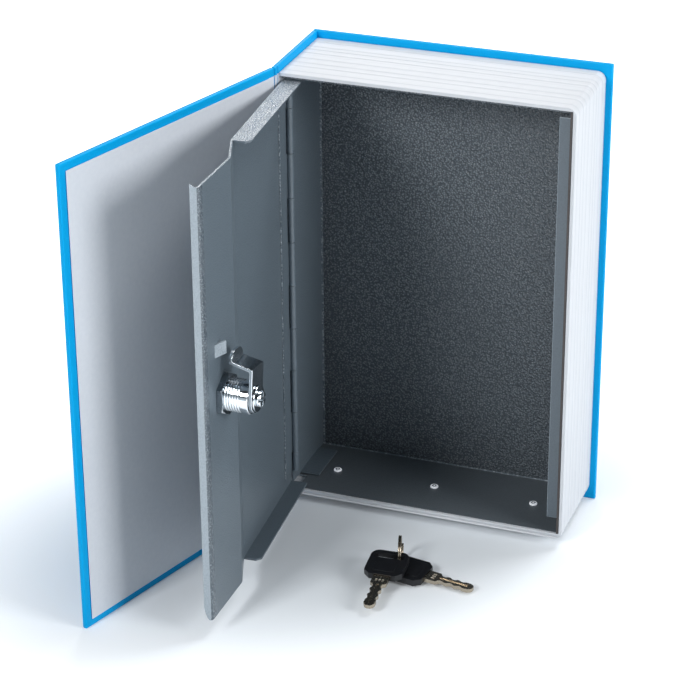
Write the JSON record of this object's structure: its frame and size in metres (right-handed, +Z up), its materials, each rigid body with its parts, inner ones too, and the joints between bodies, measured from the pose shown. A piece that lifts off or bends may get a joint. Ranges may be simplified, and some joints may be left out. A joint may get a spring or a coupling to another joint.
{
  "type": "book diversion safe",
  "caption": "Upright hardback book whose page block is a hollow steel cash box, with cover and cam-lock door open and keys in front.",
  "frame": {"origin": "middle of the lower edge of the back cover board, on the surface that the book stands on", "axes": "+Z up along the spine, +X from the spine to the fore-edge, +Y out of the back cover; the open front faces -Y"},
  "size_m": [0.1992, 0.2047, 0.24],
  "materials": {
    "cover_cloth": "bright blue paper-covered board, satin",
    "endpaper": "matt pale paper",
    "page_plastic": "white moulded plastic with page lines",
    "grey_paint": "slate grey hammered powder coat",
    "rivet_white": "plain white",
    "chrome": "bright plated",
    "wafer_brass": "bare brass",
    "nickel": "nickel plated",
    "black_plastic": "black moulded plastic"
  },
  "bodies": {
    "case": {"back_cover_board": "cover_cloth", "spine_board": "cover_cloth", "cover_joint_strip": "cover_cloth", "page_block_shell": "page_plastic", "steel_box": "grey_paint", "hinge_side_wall": "grey_paint", "strike_angle": "grey_paint", "floor_rivet_1": "rivet_white", "floor_rivet_2": "rivet_white", "floor_rivet_3": "rivet_white", "ceiling_rivet_1": "rivet_white", "ceiling_rivet_2": "rivet_white", "ceiling_rivet_3": "rivet_white", "frame_hinge_leaf": "grey_paint", "hinge_pin": "nickel"},
    "front_cover": {"front_cover_board": "cover_cloth", "front_endpaper": "endpaper"},
    "door": {"door_panel": "grey_paint", "door_hinge_leaf": "grey_paint", "lock_housing": "chrome", "lock_nut": "chrome"},
    "lock_core": {"lock_plug": "chrome", "lock_cam": "chrome", "cam_washer": "chrome", "cam_screw": "chrome", "lock_wafer_1": "wafer_brass", "lock_wafer_2": "wafer_brass", "lock_wafer_3": "wafer_brass", "lock_wafer_4": "wafer_brass", "lock_wafer_5": "wafer_brass"},
    "key_ring": {"key_ring": "nickel"},
    "key_1": {"key_1_bow": "black_plastic", "key_1_blade": "nickel"},
    "key_2": {"key_2_bow": "black_plastic", "key_2_blade": "nickel"}
  },
  "joints": [
    {"name": "cover_hinge", "type": "hinge", "parent": "case", "child": "front_cover", "pos_m": [-0.07585, -0.05685, 0.12], "axis": [0, 0, 1], "range_deg": [-13.9, 107.1]},
    {"name": "door_hinge", "type": "hinge", "parent": "case", "child": "door", "pos_m": [-0.07045, -0.0513, 0.1205], "axis": [0, 0, 1], "range_deg": [-11.16, 85.82]},
    {"name": "lock_turn", "type": "hinge", "parent": "door", "child": "lock_core", "pos_m": [-0.05965, -0.16742, 0.1205], "axis": [1, -0.0016, 0], "range_deg": [0, 90]},
    {"name": "keys_slide", "type": "slide", "parent": "case", "child": "key_ring", "axis": [1, 0, 0], "range_m": [-0.0148, 0.1124]},
    {"name": "key_1_swivel", "type": "hinge", "parent": "key_ring", "child": "key_1", "pos_m": [0.00495, -0.1048, 0.0084], "axis": [0, 0, 1], "range_deg": [-6, 6]},
    {"name": "key_2_swivel", "type": "hinge", "parent": "key_ring", "child": "key_2", "pos_m": [0.00405, -0.1019, 0.0035], "axis": [0, 0, 1], "range_deg": [-6, 6]}
  ],
  "couplings": [
    {"joint": "door_hinge", "follows": "cover_hinge", "ratio": 0.80112},
    {"joint": "keys_slide", "follows": "cover_hinge", "m_per_rad": 0.06}
  ]
}
